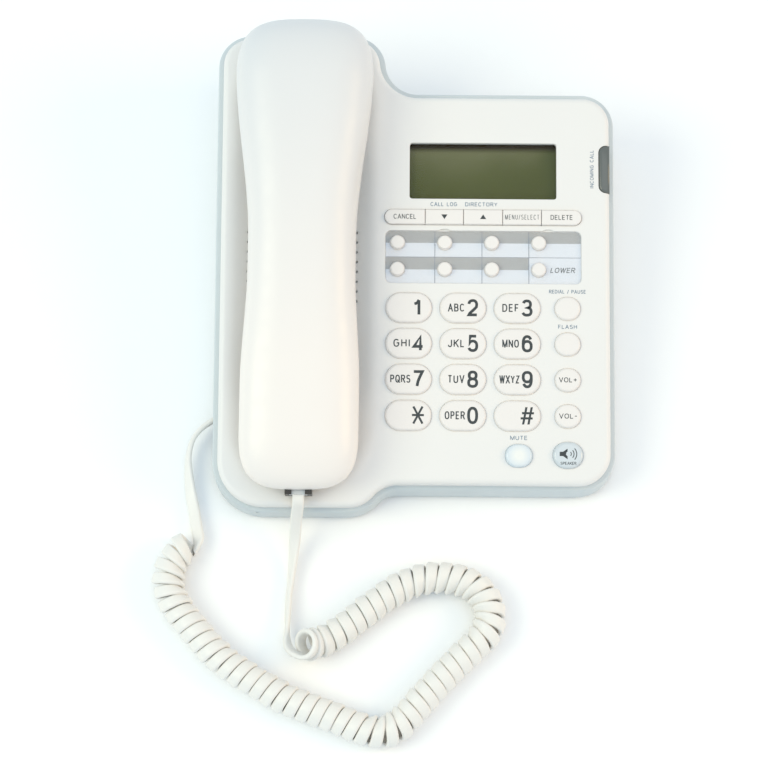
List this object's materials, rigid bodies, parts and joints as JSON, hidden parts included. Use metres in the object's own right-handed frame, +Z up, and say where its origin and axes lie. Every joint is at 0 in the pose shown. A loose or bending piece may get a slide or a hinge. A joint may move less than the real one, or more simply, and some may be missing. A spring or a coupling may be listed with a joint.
{
  "type": "corded desk telephone",
  "caption": "Corded desk telephone: wedge base with tilted keypad, small display, memory keys and cradle, arched handset resting in it, and a curled cord joining the two.",
  "frame": {"origin": "middle of the base's footprint on the desk, cord left out", "axes": "+X right seen by the user, +Y to the back, +Z up"},
  "size_m": [0.1967, 0.3031, 0.0815],
  "materials": {
    "upper_shell": "satin",
    "lower_casing": "satin",
    "handset_plastic": "gloss",
    "key_caps": "satin",
    "tinted_keys": "gloss",
    "circuit_board": "satin",
    "silicone": "matte",
    "display_glass": "gloss",
    "clear_window": "gloss",
    "card": "matte",
    "dark_plastic": "satin",
    "light_lens": "gloss",
    "cell_jacket": "satin",
    "rubber": "matte",
    "steel": "brushed",
    "cord_jacket": "satin"
  },
  "bodies": {
    "base": {"base_bottom_shell": "lower_casing", "base_top_shell": "upper_shell", "main_board": "circuit_board", "key_mat": "silicone", "lcd_module": "display_glass", "lcd_window": "clear_window", "memory_card": "card", "memory_card_cover": "clear_window", "loudspeaker": "dark_plastic", "base_handset_jack": "dark_plastic", "line_jack": "dark_plastic", "call_light_lens": "light_lens", "batteries": "cell_jacket", "rubber_feet": "rubber", "case_screws": "steel", "base_plug": "clear_window", "cord_base_lead": "cord_jacket", "cord_curl": "cord_jacket", "cord_handset_lead": "cord_jacket"},
    "handset": {"handset_back_shell": "handset_plastic", "handset_front_shell": "handset_plastic", "handset_receiver": "dark_plastic", "handset_microphone": "dark_plastic", "handset_jack": "dark_plastic", "handset_weight": "steel", "handset_plug": "clear_window"},
    "hook": {"hook_plunger": "upper_shell"},
    "door": {"battery_door": "lower_casing"},
    "tab": {"hang_tab": "upper_shell"},
    "key_1": {"key_1": "key_caps"},
    "key_2": {"key_2": "key_caps"},
    "key_3": {"key_3": "key_caps"},
    "key_4": {"key_4": "key_caps"},
    "key_5": {"key_5": "key_caps"},
    "key_6": {"key_6": "key_caps"},
    "key_7": {"key_7": "key_caps"},
    "key_8": {"key_8": "key_caps"},
    "key_9": {"key_9": "key_caps"},
    "key_star": {"key_star": "key_caps"},
    "key_0": {"key_0": "key_caps"},
    "key_pound": {"key_pound": "key_caps"},
    "key_redial": {"key_redial": "key_caps"},
    "key_flash": {"key_flash": "key_caps"},
    "key_volume_up": {"key_volume_up": "key_caps"},
    "key_volume_down": {"key_volume_down": "key_caps"},
    "key_mute": {"key_mute": "tinted_keys"},
    "key_speaker": {"key_speaker": "tinted_keys"},
    "key_cancel": {"key_cancel": "key_caps"},
    "key_down": {"key_down": "key_caps"},
    "key_up": {"key_up": "key_caps"},
    "key_menu": {"key_menu": "key_caps"},
    "key_delete": {"key_delete": "key_caps"},
    "key_memory_1": {"key_memory_1": "key_caps"},
    "key_memory_2": {"key_memory_2": "key_caps"},
    "key_memory_3": {"key_memory_3": "key_caps"},
    "key_memory_4": {"key_memory_4": "key_caps"},
    "key_memory_5": {"key_memory_5": "key_caps"},
    "key_memory_6": {"key_memory_6": "key_caps"},
    "key_memory_7": {"key_memory_7": "key_caps"},
    "key_lower": {"key_lower": "key_caps"}
  },
  "joints": [
    {"name": "handset_lift", "type": "slide", "parent": "base", "child": "handset", "axis": [0, -0.1736, 0.9848], "range_m": [0, 0.05]},
    {"name": "hook_rise", "type": "slide", "parent": "base", "child": "hook", "axis": [0, -0.1736, 0.9848], "range_m": [0, 0.004]},
    {"name": "battery_door_slide", "type": "slide", "parent": "base", "child": "door", "axis": [0, 1, 0], "range_m": [0, 0.04]},
    {"name": "hang_tab_slide", "type": "slide", "parent": "base", "child": "tab", "axis": [0, -0.1736, 0.9848], "range_m": [0, 0.004]},
    {"name": "key_1_press", "type": "slide", "parent": "base", "child": "key_1", "axis": [0, 0.1736, -0.9848], "range_m": [0, 0.0012], "stiffness_N_per_m": 400, "springref_m": -0.0005},
    {"name": "key_2_press", "type": "slide", "parent": "base", "child": "key_2", "axis": [0, 0.1736, -0.9848], "range_m": [0, 0.0012], "stiffness_N_per_m": 400, "springref_m": -0.0005},
    {"name": "key_3_press", "type": "slide", "parent": "base", "child": "key_3", "axis": [0, 0.1736, -0.9848], "range_m": [0, 0.0012], "stiffness_N_per_m": 400, "springref_m": -0.0005},
    {"name": "key_4_press", "type": "slide", "parent": "base", "child": "key_4", "axis": [0, 0.1736, -0.9848], "range_m": [0, 0.0012], "stiffness_N_per_m": 400, "springref_m": -0.0005},
    {"name": "key_5_press", "type": "slide", "parent": "base", "child": "key_5", "axis": [0, 0.1736, -0.9848], "range_m": [0, 0.0012], "stiffness_N_per_m": 400, "springref_m": -0.0005},
    {"name": "key_6_press", "type": "slide", "parent": "base", "child": "key_6", "axis": [0, 0.1736, -0.9848], "range_m": [0, 0.0012], "stiffness_N_per_m": 400, "springref_m": -0.0005},
    {"name": "key_7_press", "type": "slide", "parent": "base", "child": "key_7", "axis": [0, 0.1736, -0.9848], "range_m": [0, 0.0012], "stiffness_N_per_m": 400, "springref_m": -0.0005},
    {"name": "key_8_press", "type": "slide", "parent": "base", "child": "key_8", "axis": [0, 0.1736, -0.9848], "range_m": [0, 0.0012], "stiffness_N_per_m": 400, "springref_m": -0.0005},
    {"name": "key_9_press", "type": "slide", "parent": "base", "child": "key_9", "axis": [0, 0.1736, -0.9848], "range_m": [0, 0.0012], "stiffness_N_per_m": 400, "springref_m": -0.0005},
    {"name": "key_star_press", "type": "slide", "parent": "base", "child": "key_star", "axis": [0, 0.1736, -0.9848], "range_m": [0, 0.0012], "stiffness_N_per_m": 400, "springref_m": -0.0005},
    {"name": "key_0_press", "type": "slide", "parent": "base", "child": "key_0", "axis": [0, 0.1736, -0.9848], "range_m": [0, 0.0012], "stiffness_N_per_m": 400, "springref_m": -0.0005},
    {"name": "key_pound_press", "type": "slide", "parent": "base", "child": "key_pound", "axis": [0, 0.1736, -0.9848], "range_m": [0, 0.0012], "stiffness_N_per_m": 400, "springref_m": -0.0005},
    {"name": "key_redial_press", "type": "slide", "parent": "base", "child": "key_redial", "axis": [0, 0.1736, -0.9848], "range_m": [0, 0.0012], "stiffness_N_per_m": 400, "springref_m": -0.0005},
    {"name": "key_flash_press", "type": "slide", "parent": "base", "child": "key_flash", "axis": [0, 0.1736, -0.9848], "range_m": [0, 0.0012], "stiffness_N_per_m": 400, "springref_m": -0.0005},
    {"name": "key_volume_up_press", "type": "slide", "parent": "base", "child": "key_volume_up", "axis": [0, 0.1736, -0.9848], "range_m": [0, 0.0012], "stiffness_N_per_m": 400, "springref_m": -0.0005},
    {"name": "key_volume_down_press", "type": "slide", "parent": "base", "child": "key_volume_down", "axis": [0, 0.1736, -0.9848], "range_m": [0, 0.0012], "stiffness_N_per_m": 400, "springref_m": -0.0005},
    {"name": "key_mute_press", "type": "slide", "parent": "base", "child": "key_mute", "axis": [0, 0.1736, -0.9848], "range_m": [0, 0.0012], "stiffness_N_per_m": 400, "springref_m": -0.0005},
    {"name": "key_speaker_press", "type": "slide", "parent": "base", "child": "key_speaker", "axis": [0, 0.1736, -0.9848], "range_m": [0, 0.0012], "stiffness_N_per_m": 400, "springref_m": -0.0005},
    {"name": "key_cancel_press", "type": "slide", "parent": "base", "child": "key_cancel", "axis": [0, 0.1736, -0.9848], "range_m": [0, 0.0012], "stiffness_N_per_m": 400, "springref_m": -0.0005},
    {"name": "key_down_press", "type": "slide", "parent": "base", "child": "key_down", "axis": [0, 0.1736, -0.9848], "range_m": [0, 0.0012], "stiffness_N_per_m": 400, "springref_m": -0.0005},
    {"name": "key_up_press", "type": "slide", "parent": "base", "child": "key_up", "axis": [0, 0.1736, -0.9848], "range_m": [0, 0.0012], "stiffness_N_per_m": 400, "springref_m": -0.0005},
    {"name": "key_menu_press", "type": "slide", "parent": "base", "child": "key_menu", "axis": [0, 0.1736, -0.9848], "range_m": [0, 0.0012], "stiffness_N_per_m": 400, "springref_m": -0.0005},
    {"name": "key_delete_press", "type": "slide", "parent": "base", "child": "key_delete", "axis": [0, 0.1736, -0.9848], "range_m": [0, 0.0012], "stiffness_N_per_m": 400, "springref_m": -0.0005},
    {"name": "key_memory_1_press", "type": "slide", "parent": "base", "child": "key_memory_1", "axis": [0, 0.1736, -0.9848], "range_m": [0, 0.0012], "stiffness_N_per_m": 400, "springref_m": -0.0005},
    {"name": "key_memory_2_press", "type": "slide", "parent": "base", "child": "key_memory_2", "axis": [0, 0.1736, -0.9848], "range_m": [0, 0.0012], "stiffness_N_per_m": 400, "springref_m": -0.0005},
    {"name": "key_memory_3_press", "type": "slide", "parent": "base", "child": "key_memory_3", "axis": [0, 0.1736, -0.9848], "range_m": [0, 0.0012], "stiffness_N_per_m": 400, "springref_m": -0.0005},
    {"name": "key_memory_4_press", "type": "slide", "parent": "base", "child": "key_memory_4", "axis": [0, 0.1736, -0.9848], "range_m": [0, 0.0012], "stiffness_N_per_m": 400, "springref_m": -0.0005},
    {"name": "key_memory_5_press", "type": "slide", "parent": "base", "child": "key_memory_5", "axis": [0, 0.1736, -0.9848], "range_m": [0, 0.0012], "stiffness_N_per_m": 400, "springref_m": -0.0005},
    {"name": "key_memory_6_press", "type": "slide", "parent": "base", "child": "key_memory_6", "axis": [0, 0.1736, -0.9848], "range_m": [0, 0.0012], "stiffness_N_per_m": 400, "springref_m": -0.0005},
    {"name": "key_memory_7_press", "type": "slide", "parent": "base", "child": "key_memory_7", "axis": [0, 0.1736, -0.9848], "range_m": [0, 0.0012], "stiffness_N_per_m": 400, "springref_m": -0.0005},
    {"name": "key_lower_press", "type": "slide", "parent": "base", "child": "key_lower", "axis": [0, 0.1736, -0.9848], "range_m": [0, 0.0012], "stiffness_N_per_m": 400, "springref_m": -0.0005}
  ],
  "couplings": [
    {"joint": "hook_rise", "follows": "handset_lift", "ratio": 0.08}
  ]
}
